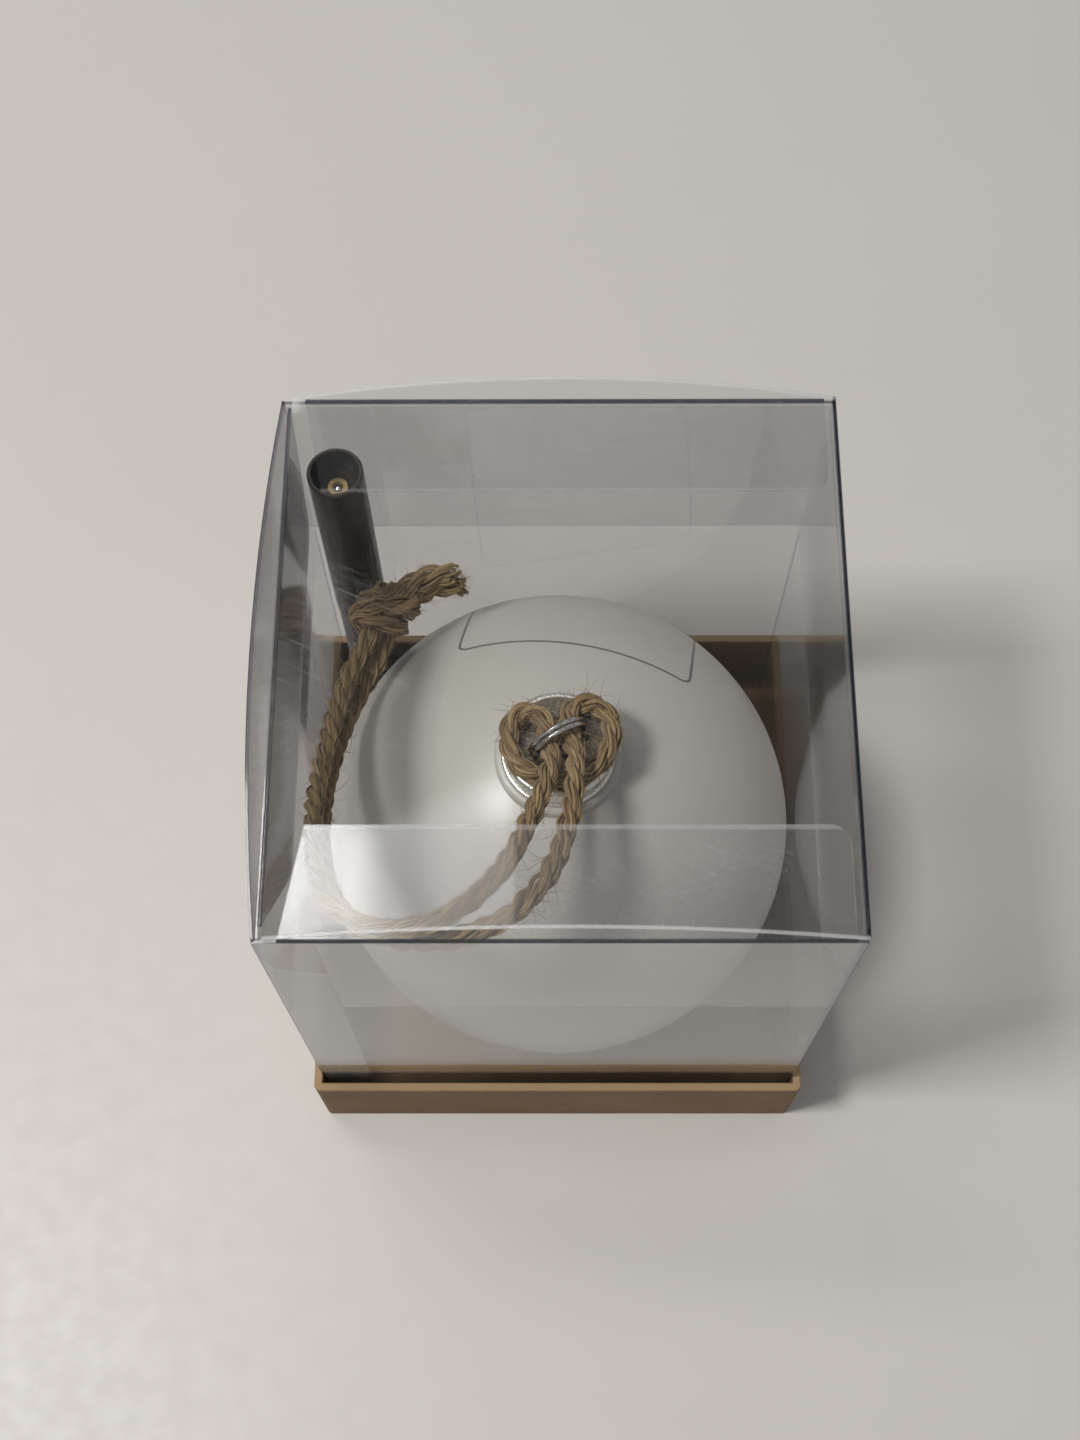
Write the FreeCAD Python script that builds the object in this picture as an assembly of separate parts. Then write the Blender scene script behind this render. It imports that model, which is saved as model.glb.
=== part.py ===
"""Ball ornament with a jute hanging loop and a marker pen, in a clear film gift box on a kraft card tray.

Millimetres. The origin is the middle of the tray's underside, +X is right, +Y is back and +Z is up.
"""

import FreeCAD, Part
import math
import os

from FreeCAD import Matrix, Placement, Rotation, Vector

# Kraft card tray
TRAY_HEIGHT = 22.0
TRAY_WALL = 1.5
TRAY_FLOOR = 1.5
TRAY_CORNER = 1.2
TRAY_RIM_ROUND = 0.4
TRAY_GAP_X = 0.25
TRAY_GAP_Y = 0.9

# Clear film cover: four walls folded from one strip
BALL_ROOM_WIDTH = 3.0
BALL_ROOM_DEPTH = 4.0
BALL_ROOM_HEIGHT = 30.9
FILM = 0.4
SEAT_GAP = 0.1
BULGE = 2.5
BULGE_START = 32.0
BULGE_LEAST = 0.025
SEAM_WIDTH = 8.0
SEAM_TOP_DROP = 17.0
SEAM_FOOT_RISE = 2.0
SEAM_SLANT = 3.0

# Inner collar that doubles the upper part of the walls
COLLAR_FILM = 0.3
COLLAR_DEPTH = 38.0
COLLAR_TOP_DROP = 1.4
COLLAR_GAP = 0.1

# Lid, tuck flap and dust flaps, which turn on creases in the film
CREASE_RADIUS = 0.3
CREASE_GAP = 0.05
FLAP_STEP = 0.8
LID_BOW = 5.8
LID_SIDE_INSET = 0.1
TUCK_INSET = 0.9
TUCK_DEPTH = 15.5
TUCK_LEAN = 1.6
TUCK_END_INSET = 1.6
TUCK_TAPER = 12.0
TUCK_CORNER = 5.0
FRONT_FLAP_DEPTH = 16.4
BACK_FLAP_DEPTH = 15.4
FLAP_HINGE_END_GAP = 1.4
FLAP_TUCK_END_GAP = 2.2
FLAP_SLANT = 3.0
FLAP_CORNER = 3.0

# Ball with its neck
BALL_RADIUS = 40.0
BALL_WALL = 3.0
BALL_Y = -1.0
BALL_REST_GAP = 0.3
NECK_LEAN = 3.5
NECK_RADIUS = 10.0
NECK_BORE_RADIUS = 6.6
NECK_RISE = 0.9
NECK_ROUND = 0.9

# Metal hanger cap, double ring and spring clip
CAP_RADIUS = 8.6
CAP_HEIGHT = 4.5
CAP_SHEET = 0.5
CAP_ROUND = 0.7
CAP_BEAD = 0.35
CAP_SEAT_GAP = 0.1
RING_RADIUS = 4.5
RING_WIRE = 0.8
RING_PITCH = 0.86
RING_TURNS = 1.9
RING_CORNERS_PER_TURN = 14
RING_RISE = 2.3
RING_TURN_DEG = 28.0
SLOT_GAP = 0.3
CLIP_WIRE = 0.7
CLIP_HALF_WIDTH = 3.4
CLIP_LENGTH = 14.0
CLIP_SPLAY = 2.0
CLIP_BEND = 1.4

# Jute twine: one loop hitched on the ring and knotted at its far end
TWINE = 3.0
KNOT_CENTRE = (-28.6, 25.2, 73.4)
KNOT_AXIS = (0.52, 0.80, 0.30)
KNOT_HALF_LENGTH = 5.6
KNOT_RADIUS = 5.0
KNOT_GAP = 0.05
TWINE_LEFT = [
    (-0.45, -9.7, 88.6),
    (-3.4, -9.7, 88.6),
    (-6.2, -8.0, 88.7),
    (-7.6, -5.0, 88.9),
    (-7.6, -1.6, 89.1),
    (-5.9, 0.6, 89.4),
    (-3.6, 0.6, 89.6),
    (-2.1, -1.2, 89.8),
    (-1.3, -5.4, 90.2),
    (-0.9, -8.2, 91.8),
    (-1.8, -12.4, 93.3),
    (-3.8, -17.5, 95.2),
    (-6.0, -23.5, 97.4),
    (-9.2, -29.5, 99.8),
    (-14.2, -34.6, 101.6),
    (-20.6, -37.6, 102.4),
    (-27.2, -37.2, 101.6),
    (-32.4, -33.2, 98.9),
    (-35.4, -27.0, 94.6),
    (-36.9, -19.6, 89.6),
    (-37.3, -11.6, 84.4),
    (-37.0, -3.4, 79.6),
    (-36.2, 4.6, 75.6),
    (-34.8, 12.2, 73.2),
    (-32.4, 18.8, 72.6),
    (-29.2, 24.2, 73.2),
]
TWINE_RIGHT = [
    (-0.35, -9.7, 88.6),
    (3.2, -9.7, 88.6),
    (6.4, -7.9, 88.7),
    (8.2, -4.7, 88.9),
    (8.2, -0.9, 89.2),
    (6.2, 1.9, 89.5),
    (3.2, 2.1, 89.8),
    (1.2, 0.0, 90.0),
    (1.9, -4.3, 90.2),
    (2.6, -7.3, 91.7),
    (2.5, -12.0, 93.2),
    (1.7, -17.8, 94.2),
    (0.3, -23.8, 95.2),
    (-2.8, -29.8, 96.3),
    (-7.8, -34.8, 97.4),
    (-14.2, -37.7, 98.2),
    (-21.0, -38.0, 98.0),
    (-27.6, -36.2, 96.6),
    (-32.4, -31.6, 93.4),
    (-35.0, -25.2, 89.0),
    (-36.4, -17.8, 83.9),
    (-36.8, -9.9, 78.9),
    (-36.3, -1.9, 74.3),
    (-35.0, 5.8, 70.7),
    (-32.6, 12.6, 68.7),
    (-29.8, 18.4, 68.8),
    (-27.6, 23.6, 71.0),
]
END_LEFT = [(-27.8, 26.4, 75.4), (-24.2, 28.6, 77.0), (-19.8, 29.8, 77.9), (-15.6, 29.5, 78.0)]
END_RIGHT = [(-25.8, 26.2, 72.6), (-22.4, 27.5, 73.6), (-18.4, 27.9, 74.4), (-14.6, 27.0, 74.6)]

# Marker pen standing in the back left corner
PEN_TO_LEFT_WALL = 7.5
PEN_TO_BACK_WALL = 8.3
PEN_TOP_DROP = 7.5
PEN_CAP_RADIUS = 4.35
PEN_CAP_LENGTH = 44.0
PEN_CAP_WALL = 0.6
PEN_CAP_LIP = 0.35
PEN_RECESS = 6.0
PEN_DECK = 1.6
PEN_BARREL_RADIUS = 4.15
PEN_BARREL_WALL = 0.8
PEN_JOINT_GAP = 0.1
PEN_SLIDE_GAP = 0.15
GRIP_LENGTH = 15.0
GRIP_SEAT = 6.0
GRIP_NOSE_RADIUS = 1.9
GRIP_NOSE_LENGTH = 5.0
NIB_RADIUS = 1.1
NIB_LENGTH = 30.0
NIB_SHOWN = 4.0
RESERVOIR_GAP = 0.3
PLUG_LENGTH = 6.0
PLUG_FLANGE = 1.2
BUSH_RADIUS = 1.55
BUSH_BORE_RADIUS = 0.9
BUSH_HEIGHT = 1.4
PIN_DOME = 0.5

# Share of the shorter run that a bend in a wire or twine takes up on each side of its corner
RUN_SHARE = 0.45

# How far a cutting shape runs past the face it opens
PAST = 1.0

# Places worked out from the sizes
COVER_FOOT = TRAY_FLOOR + SEAT_GAP
COVER_TOP = COVER_FOOT + 2 * BALL_RADIUS + BALL_ROOM_HEIGHT
HALF_W = BALL_RADIUS + BALL_ROOM_WIDTH / 2
HALF_D = BALL_RADIUS + BALL_ROOM_DEPTH / 2
TRAY_HALF_X = HALF_W + TRAY_GAP_X + TRAY_WALL
TRAY_HALF_Y = HALF_D + TRAY_GAP_Y + TRAY_WALL
WALL_TOP_LOW = COVER_TOP - FLAP_STEP
LID_AXIS_X = HALF_W - FILM / 2
LID_AXIS_Z = COVER_TOP + CREASE_GAP + CREASE_RADIUS
FLAP_AXIS_Y = HALF_D - FILM / 2
FLAP_AXIS_Z = WALL_TOP_LOW + CREASE_GAP + CREASE_RADIUS
TUCK_AXIS_X = -(HALF_W - FILM - TUCK_INSET)
BALL_Z = TRAY_FLOOR + BALL_REST_GAP + BALL_RADIUS
BALL_CENTRE = Vector(0, BALL_Y, BALL_Z)
NECK_TOP = BALL_RADIUS + NECK_RISE
CAP_FOOT = NECK_TOP + CAP_SEAT_GAP
CAP_TOP = NECK_TOP + CAP_HEIGHT
PEN_X = PEN_TO_LEFT_WALL - HALF_W
PEN_Y = HALF_D - PEN_TO_BACK_WALL
PEN_TOP = COVER_TOP - PEN_TOP_DROP
PEN_FOOT = TRAY_FLOOR + SEAT_GAP
PEN_CAP_FOOT = PEN_TOP - PEN_CAP_LENGTH
PEN_SHOULDER = PEN_CAP_FOOT - PEN_JOINT_GAP
GRIP_FOOT = PEN_SHOULDER - GRIP_SEAT
GRIP_RADIUS = PEN_CAP_RADIUS - PEN_CAP_WALL - PEN_SLIDE_GAP
BARREL_BORE_RADIUS = PEN_BARREL_RADIUS - PEN_BARREL_WALL


def box(x0, x1, y0, y1, z0, z1):
    """A block between two corners."""
    return Part.makeBox(x1 - x0, y1 - y0, z1 - z0, Vector(x0, y0, z0))


def rod(radius, z0, z1):
    """A round bar on the Z axis."""
    return Part.makeCylinder(radius, z1 - z0, Vector(0, 0, z0))


def plate(points, low, high):
    """A flat outline of (x, y) points, raised from low to high."""
    corners = [Vector(x, y, low) for x, y in points]
    outline = Part.makePolygon(corners + corners[:1])
    return Part.Face(outline).extrude(Vector(0, 0, high - low))


def turned(outline):
    """The solid made by turning an (r, z) outline about the Z axis."""
    corners = [Vector(r, 0, z) for r, z in outline]
    face = Part.Face(Part.makePolygon(corners + corners[:1]))
    return face.revolve(Vector(0, 0, 0), Vector(0, 0, 1), 360)


def upright_edges(shape):
    """The edges of a shape that run along Z."""
    found = []
    for edge in shape.Edges:
        if isinstance(edge.Curve, Part.Line) and abs(edge.tangentAt(edge.FirstParameter).z) > 0.999:
            found.append(edge)
    return found


def leaned(shape):
    """A shape made about the ball's middle, set in its place with the neck leaning to the front."""
    lean = Placement(BALL_CENTRE, Rotation(Vector(1, 0, 0), NECK_LEAN))
    placed = shape.copy()
    placed.Placement = lean.multiply(shape.Placement)
    return placed


def base_tray():
    """Card tray with a floor and four walls."""
    outer = box(-TRAY_HALF_X, TRAY_HALF_X, -TRAY_HALF_Y, TRAY_HALF_Y, 0, TRAY_HEIGHT)
    outer = outer.makeFillet(TRAY_CORNER, upright_edges(outer))
    inner_x = TRAY_HALF_X - TRAY_WALL
    inner_y = TRAY_HALF_Y - TRAY_WALL
    tray = outer.cut(box(-inner_x, inner_x, -inner_y, inner_y, TRAY_FLOOR, TRAY_HEIGHT + PAST))
    rim = [e for e in tray.Edges if abs(e.BoundBox.ZMin - TRAY_HEIGHT) < 1e-6]
    return tray.makeFillet(TRAY_RIM_ROUND, rim)


def cover_end_panel(side):
    """Front (side -1) or back (side 1) wall, a step lower than the others for its dust flap."""
    near, far = sorted((side * HALF_D, side * (HALF_D - FILM)))
    return box(-HALF_W, HALF_W, near, far, COVER_FOOT, WALL_TOP_LOW)


def cover_right_panel():
    """Right wall, which carries the lid."""
    half_y = HALF_D - FILM
    return box(HALF_W - FILM, HALF_W, -half_y, half_y, COVER_FOOT, COVER_TOP)


def bowed_strip(z, bow):
    """Closed outline at height z of the left wall, bowed outwards in the middle."""
    half_y = HALF_D - FILM
    outer = -HALF_W
    inner = -HALF_W + FILM
    front_out = Vector(outer, -half_y, z)
    back_out = Vector(outer, half_y, z)
    front_in = Vector(inner, -half_y, z)
    back_in = Vector(inner, half_y, z)
    edges = [
        Part.Arc(front_out, Vector(outer - bow, 0, z), back_out).toShape(),
        Part.LineSegment(back_out, back_in).toShape(),
        Part.Arc(back_in, Vector(inner - bow, 0, z), front_in).toShape(),
        Part.LineSegment(front_in, front_out).toShape(),
    ]
    return Part.Wire(edges)


def cover_left_panel():
    """Left wall, straight in the tray and bowed out by the tuck flap towards the top."""
    half_y = HALF_D - FILM
    straight = box(-HALF_W, -HALF_W + FILM, -half_y, half_y, COVER_FOOT, BULGE_START)
    bowed = Part.makeLoft([bowed_strip(BULGE_START, BULGE_LEAST), bowed_strip(COVER_TOP, BULGE)], True, True)
    return straight.fuse(bowed).removeSplitter()


def glue_seam():
    """Narrow tab of the wrap, stuck inside the front wall beside the left fold."""
    left = -HALF_W + FILM
    right = left + SEAM_WIDTH
    low = COVER_FOOT + SEAM_FOOT_RISE
    high = COVER_TOP - SEAM_TOP_DROP
    y = -HALF_D + FILM
    corners = [(left, low), (right, low + SEAM_SLANT), (right, high - SEAM_SLANT), (left, high)]
    points = [Vector(x, y, z) for x, z in corners]
    return Part.Face(Part.makePolygon(points + points[:1])).extrude(Vector(0, COLLAR_FILM, 0))


def inner_collar():
    """Film liner inside the upper walls, cut short on the front where the seam tab is."""
    out_x = HALF_W - FILM - COLLAR_GAP
    out_y = HALF_D - FILM - COLLAR_GAP
    top = COVER_TOP - COLLAR_TOP_DROP
    low = top - COLLAR_DEPTH
    ring = box(-out_x, out_x, -out_y, out_y, low, top)
    in_x = out_x - COLLAR_FILM
    in_y = out_y - COLLAR_FILM
    ring = ring.cut(box(-in_x, in_x, -in_y, in_y, low - PAST, top + PAST))
    seam_right = -HALF_W + FILM + SEAM_WIDTH + COLLAR_GAP
    seam_back = -HALF_D + FILM + COLLAR_FILM + COLLAR_GAP
    return ring.cut(box(-HALF_W, seam_right, -HALF_D, seam_back, low - PAST, top + PAST))


def lid_panel():
    """Lid bowed upwards between its hinge crease on the right and its tuck crease on the left."""
    half_y = HALF_D - LID_SIDE_INSET
    left = TUCK_AXIS_X + CREASE_RADIUS + CREASE_GAP
    middle = (LID_AXIS_X + left) / 2
    edges = []
    for lift in (FILM / 2, -FILM / 2):
        right_end = Vector(LID_AXIS_X, -half_y, LID_AXIS_Z + lift)
        left_end = Vector(left, -half_y, LID_AXIS_Z + lift)
        crown = Vector(middle, -half_y, LID_AXIS_Z + LID_BOW + lift)
        edges.append(Part.Arc(right_end, crown, left_end).toShape())
    ends = [(e.valueAt(e.FirstParameter), e.valueAt(e.LastParameter)) for e in edges]
    edges.append(Part.LineSegment(ends[0][0], ends[1][0]).toShape())
    edges.append(Part.LineSegment(ends[0][1], ends[1][1]).toShape())
    sheet = Part.Face(Part.Wire(Part.sortEdges(edges)[0])).extrude(Vector(0, 2 * half_y, 0))
    bead = Part.makeCylinder(
        CREASE_RADIUS, 2 * half_y, Vector(LID_AXIS_X, -half_y, LID_AXIS_Z), Vector(0, 1, 0)
    )
    return sheet.fuse(bead).removeSplitter()


def tuck_flap():
    """Tuck flap hanging from the lid's left crease, leaning in from the left wall."""
    half_y = HALF_D - FILM - TUCK_END_INSET
    foot = half_y - TUCK_TAPER
    outline = [(0, -half_y), (TUCK_DEPTH, -foot), (TUCK_DEPTH, foot), (0, half_y)]
    flat = plate(outline, -FILM / 2, FILM / 2)
    corners = [e for e in upright_edges(flat) if e.CenterOfMass.x > TUCK_DEPTH / 2]
    flat = flat.makeFillet(TUCK_CORNER, corners)
    bead = Part.makeCylinder(CREASE_RADIUS, 2 * half_y, Vector(0, -half_y, 0), Vector(0, 1, 0))
    flap = flat.fuse(bead).removeSplitter()
    down = 90 - math.degrees(math.atan2(TUCK_LEAN, TUCK_DEPTH))
    flap.Placement = Placement(Vector(TUCK_AXIS_X, 0, LID_AXIS_Z), Rotation(Vector(0, 1, 0), down))
    return flap


def dust_flap(side, depth):
    """Front (side -1) or back (side 1) dust flap, level under the lid."""
    right = LID_AXIS_X - FLAP_HINGE_END_GAP
    left = TUCK_AXIS_X + FLAP_TUCK_END_GAP
    edge_y = FLAP_AXIS_Y - depth
    outline = [(right, FLAP_AXIS_Y), (right, edge_y), (left + FLAP_SLANT, edge_y), (left, FLAP_AXIS_Y)]
    outline = [(x, side * y) for x, y in outline]
    sheet = plate(outline, FLAP_AXIS_Z - FILM / 2, FLAP_AXIS_Z + FILM / 2)
    free = [e for e in upright_edges(sheet) if abs(e.CenterOfMass.y) < FLAP_AXIS_Y - depth / 2]
    sheet = sheet.makeFillet(FLAP_CORNER, [e for e in free if e.CenterOfMass.x > 0])
    start = Vector(left, side * FLAP_AXIS_Y, FLAP_AXIS_Z)
    bead = Part.makeCylinder(CREASE_RADIUS, right - left, start, Vector(1, 0, 0))
    return sheet.fuse(bead).removeSplitter()


def ball_shell():
    """Hollow glazed ball with a raised ring round its neck and a bore through it."""
    ball = Part.makeSphere(BALL_RADIUS)
    neck = rod(NECK_RADIUS, NECK_TOP - 2 * BALL_WALL, NECK_TOP)
    rim = [e for e in neck.Edges if abs(e.BoundBox.ZMin - NECK_TOP) < 1e-6]
    neck = neck.makeFillet(NECK_ROUND, rim)
    hollow = Part.makeSphere(BALL_RADIUS - BALL_WALL)
    shell = ball.fuse(neck).cut(hollow).cut(rod(NECK_BORE_RADIUS, 0, NECK_TOP + PAST))
    return leaned(shell.removeSplitter())


def ring_half_reach(rise):
    """Inner and outer half widths of the ring, a height of rise below its middle."""
    inner = math.sqrt((RING_RADIUS - RING_WIRE / 2) ** 2 - rise**2)
    outer = math.sqrt((RING_RADIUS + RING_WIRE / 2) ** 2 - rise**2)
    return inner, outer


def hanger_cap():
    """Pressed metal cap with a beaded foot, and two slots that the ring passes through."""
    cup = rod(CAP_RADIUS, CAP_FOOT, CAP_TOP)
    rim = [e for e in cup.Edges if abs(e.BoundBox.ZMin - CAP_TOP) < 1e-6]
    cup = cup.makeFillet(CAP_ROUND, rim)
    bead = Part.makeTorus(CAP_RADIUS, CAP_BEAD, Vector(0, 0, CAP_FOOT + CAP_BEAD))
    cup = cup.fuse(bead).cut(rod(CAP_RADIUS - CAP_SHEET, CAP_FOOT - PAST, CAP_TOP - CAP_SHEET))
    inner = ring_half_reach(RING_RISE + CAP_SHEET)[0] - SLOT_GAP
    outer = ring_half_reach(RING_RISE)[1] + SLOT_GAP
    half_width = (RING_PITCH * RING_TURNS + RING_WIRE) / 2 + SLOT_GAP
    for side in (-1, 1):
        near, far = sorted((side * inner, side * outer))
        slot = box(near, far, -half_width, half_width, CAP_TOP - 2 * CAP_SHEET, CAP_TOP + PAST)
        slot.rotate(Vector(0, 0, 0), Vector(0, 0, 1), RING_TURN_DEG)
        cup = cup.cut(slot)
    return leaned(cup)


def coil_point(turn):
    """Corner of the ring's path, that many turns from its start, with its runs at the ring's radius."""
    angle = 2 * math.pi * turn
    radius = RING_RADIUS / math.cos(math.pi / RING_CORNERS_PER_TURN)
    climb = RING_PITCH * (turn - RING_TURNS / 2)
    return Vector(radius * math.cos(angle), radius * math.sin(angle), climb)


def hanger_ring():
    """Split ring of nearly two close turns, upright in the cap's slots."""
    count = round(RING_TURNS * RING_CORNERS_PER_TURN)
    corners = [coil_point(RING_TURNS * i / count) for i in range(count + 1)]
    ring = tube(rounded_path(corners), RING_WIRE)
    ring.rotate(Vector(0, 0, 0), Vector(1, 0, 0), 90)
    ring.rotate(Vector(0, 0, 0), Vector(0, 0, 1), RING_TURN_DEG)
    ring.translate(Vector(0, 0, CAP_TOP + RING_RISE))
    return leaned(ring)


def spring_clip():
    """Bent wire over the ring's foot inside the cap, with two legs that spread in the neck."""
    ring_foot = CAP_TOP + RING_RISE - RING_RADIUS + RING_WIRE / 2
    crown = (ring_foot + CAP_TOP - CAP_SHEET) / 2
    low = crown - CLIP_LENGTH
    wide = CLIP_HALF_WIDTH + CLIP_SPLAY
    points = [
        (0, -wide, low),
        (0, -CLIP_HALF_WIDTH, crown),
        (0, CLIP_HALF_WIDTH, crown),
        (0, wide, low),
    ]
    path = rounded_path([Vector(*p) for p in points], CLIP_BEND)
    clip = tube(path, CLIP_WIRE)
    clip.rotate(Vector(0, 0, 0), Vector(0, 0, 1), RING_TURN_DEG)
    return leaned(clip)


def rounded_path(points, radius=None):
    """Straight runs joined by tangent arcs, of a set radius or as large as their runs allow."""
    edges = []
    radii = []
    start = points[0]
    for before, corner, after in zip(points, points[1:], points[2:]):
        back = (before - corner).normalize()
        on = (after - corner).normalize()
        turn = math.pi - back.getAngle(on)
        reach = RUN_SHARE * min(before.distanceToPoint(corner), corner.distanceToPoint(after))
        size = radius if radius else reach / math.tan(turn / 2)
        trim = size * math.tan(turn / 2)
        enter = corner + back * trim
        leave = corner + on * trim
        inward = (back + on).normalize()
        middle = corner + inward * (size / math.cos(turn / 2) - size)
        edges.append(Part.LineSegment(start, enter).toShape())
        edges.append(Part.Arc(enter, middle, leave).toShape())
        radii.append(size)
        start = leave
    edges.append(Part.LineSegment(start, points[-1]).toShape())
    if radius is None:
        print("radii", " ".join(f"{r:.1f}" for r in radii))
    return Part.Wire(edges)


def tube(path, diameter):
    """Round bar along a path, with its volume compared with its section times its length."""
    first = path.Edges[0]
    start = first.valueAt(first.FirstParameter)
    section = Part.makeCircle(diameter / 2, start, first.tangentAt(first.FirstParameter))
    solid = path.makePipeShell([Part.Wire(section)], True, False)
    expected = math.pi * diameter**2 / 4 * path.Length
    print(f"tube length {path.Length:.1f} volume over section times length {solid.Volume / expected:.4f}")
    return solid


def knot_body(extra=0.0):
    """Rounded lump of the overhand knot, longest along the strands."""
    lump = Part.makeSphere(1.0)
    stretch = Matrix()
    stretch.scale(KNOT_RADIUS + extra, KNOT_RADIUS + extra, KNOT_HALF_LENGTH + extra)
    lump = lump.transformGeometry(stretch)
    lump.Placement = Placement(Vector(*KNOT_CENTRE), Rotation(Vector(0, 0, 1), Vector(*KNOT_AXIS)))
    return lump


def twine_run(points):
    """Stretch of twine that stops at the knot's surface."""
    whole = tube(rounded_path([Vector(*p) for p in points]), TWINE)
    cut = whole.cut(knot_body(KNOT_GAP))
    return max(cut.Solids, key=lambda solid: solid.Volume)


def twine_ends():
    """The two short ends of the twine beyond the knot."""
    return Part.makeCompound([twine_run(END_LEFT), twine_run(END_RIGHT)])


def pen_placed(shape):
    """A pen piece made on the Z axis, moved to where the pen stands."""
    shape.translate(Vector(PEN_X, PEN_Y, 0))
    return shape


def pen_cap():
    """Tube cap, open below for the pen and open above down to a deck."""
    bore = PEN_CAP_RADIUS - PEN_CAP_WALL
    deck_top = PEN_TOP - PEN_RECESS
    deck_low = deck_top - PEN_DECK
    lip = PEN_CAP_LIP
    cap = turned(
        [
            (bore, PEN_CAP_FOOT),
            (PEN_CAP_RADIUS - lip, PEN_CAP_FOOT),
            (PEN_CAP_RADIUS, PEN_CAP_FOOT + lip),
            (PEN_CAP_RADIUS, PEN_TOP - lip),
            (PEN_CAP_RADIUS - lip, PEN_TOP),
            (bore, PEN_TOP),
            (bore, deck_top),
            (BUSH_RADIUS, deck_top),
            (BUSH_RADIUS, deck_low),
            (bore, deck_low),
        ]
    )
    return pen_placed(cap)


def cap_bush():
    """Brass bush standing in the cap's deck."""
    low = PEN_TOP - PEN_RECESS - PEN_DECK
    bush = rod(BUSH_RADIUS, low, low + PEN_DECK + BUSH_HEIGHT)
    return pen_placed(bush.cut(rod(BUSH_BORE_RADIUS, low - PAST, low + PEN_DECK + BUSH_HEIGHT + PAST)))


def cap_pin():
    """Steel pin with a low dome, in the bush."""
    low = PEN_TOP - PEN_RECESS - PEN_DECK
    top = low + PEN_DECK + BUSH_HEIGHT
    pin = rod(BUSH_BORE_RADIUS, low, top - PIN_DOME)
    ball = (BUSH_BORE_RADIUS**2 + PIN_DOME**2) / (2 * PIN_DOME)
    dome = Part.makeSphere(ball, Vector(0, 0, top - ball))
    dome = dome.common(rod(BUSH_BORE_RADIUS, top - PIN_DOME, top + PAST))
    return pen_placed(pin.fuse(dome).removeSplitter())


def pen_barrel():
    """Tube that holds the reservoir, shouldered below the cap."""
    foot = PEN_FOOT + PLUG_FLANGE
    barrel = rod(PEN_BARREL_RADIUS, foot, PEN_SHOULDER)
    return pen_placed(barrel.cut(rod(BARREL_BORE_RADIUS, foot - PAST, PEN_SHOULDER + PAST)))


def pen_plug():
    """End plug pressed into the barrel's foot."""
    flange = PEN_FOOT + PLUG_FLANGE
    plug = turned(
        [
            (0, PEN_FOOT),
            (PEN_BARREL_RADIUS - PEN_CAP_LIP, PEN_FOOT),
            (PEN_BARREL_RADIUS, PEN_FOOT + PEN_CAP_LIP),
            (PEN_BARREL_RADIUS, flange),
            (BARREL_BORE_RADIUS, flange),
            (BARREL_BORE_RADIUS, flange + PLUG_LENGTH),
            (0, flange + PLUG_LENGTH),
        ]
    )
    return pen_placed(plug)


def pen_grip():
    """Grip section seated in the barrel's mouth, with a nose round the nib."""
    shoulder = PEN_SHOULDER + GRIP_LENGTH
    grip = turned(
        [
            (NIB_RADIUS, GRIP_FOOT),
            (BARREL_BORE_RADIUS, GRIP_FOOT),
            (BARREL_BORE_RADIUS, PEN_SHOULDER),
            (GRIP_RADIUS, PEN_SHOULDER),
            (GRIP_RADIUS, shoulder),
            (GRIP_NOSE_RADIUS, shoulder + GRIP_NOSE_LENGTH),
            (NIB_RADIUS, shoulder + GRIP_NOSE_LENGTH),
        ]
    )
    return pen_placed(grip)


def pen_nib():
    """Fibre nib through the grip's nose, with a rounded tip."""
    top = PEN_SHOULDER + GRIP_LENGTH + GRIP_NOSE_LENGTH + NIB_SHOWN
    nib = rod(NIB_RADIUS, top - NIB_LENGTH, top - NIB_RADIUS)
    tip = Part.makeSphere(NIB_RADIUS, Vector(0, 0, top - NIB_RADIUS))
    return pen_placed(nib.fuse(tip).removeSplitter())


def ink_reservoir():
    """Fibre ink reservoir from the end plug up to the grip."""
    low = PEN_FOOT + PLUG_FLANGE + PLUG_LENGTH + PEN_JOINT_GAP
    high = GRIP_FOOT - PEN_JOINT_GAP
    return pen_placed(rod(BARREL_BORE_RADIUS - RESERVOIR_GAP, low, high))


def main():
    """Build every piece and write one file for each."""
    pieces = {
        "base_tray": base_tray(),
        "cover_front_panel": cover_end_panel(-1),
        "cover_back_panel": cover_end_panel(1),
        "cover_left_panel": cover_left_panel(),
        "cover_right_panel": cover_right_panel(),
        "glue_seam": glue_seam(),
        "inner_collar": inner_collar(),
        "lid_panel": lid_panel(),
        "tuck_flap": tuck_flap(),
        "front_dust_flap": dust_flap(-1, FRONT_FLAP_DEPTH),
        "back_dust_flap": dust_flap(1, BACK_FLAP_DEPTH),
        "ball_shell": ball_shell(),
        "hanger_cap": hanger_cap(),
        "hanger_ring": hanger_ring(),
        "spring_clip": spring_clip(),
        "twine_left": twine_run(TWINE_LEFT),
        "twine_right": twine_run(TWINE_RIGHT),
        "twine_knot": knot_body(),
        "twine_ends": twine_ends(),
        "pen_cap": pen_cap(),
        "cap_bush": cap_bush(),
        "cap_pin": cap_pin(),
        "pen_barrel": pen_barrel(),
        "pen_plug": pen_plug(),
        "pen_grip": pen_grip(),
        "pen_nib": pen_nib(),
        "ink_reservoir": ink_reservoir(),
    }
    os.makedirs("parts", exist_ok=True)
    for name, shape in pieces.items():
        state = "" if shape.isValid() else " NOT VALID"
        print(f"{name}: {len(shape.Solids)} solid, {shape.Volume:.1f} mm3{state}")
        shape.exportStep(f"parts/{name}.step")


main()
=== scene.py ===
import math
import random

import bpy
from mathutils import Matrix, Vector


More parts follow.
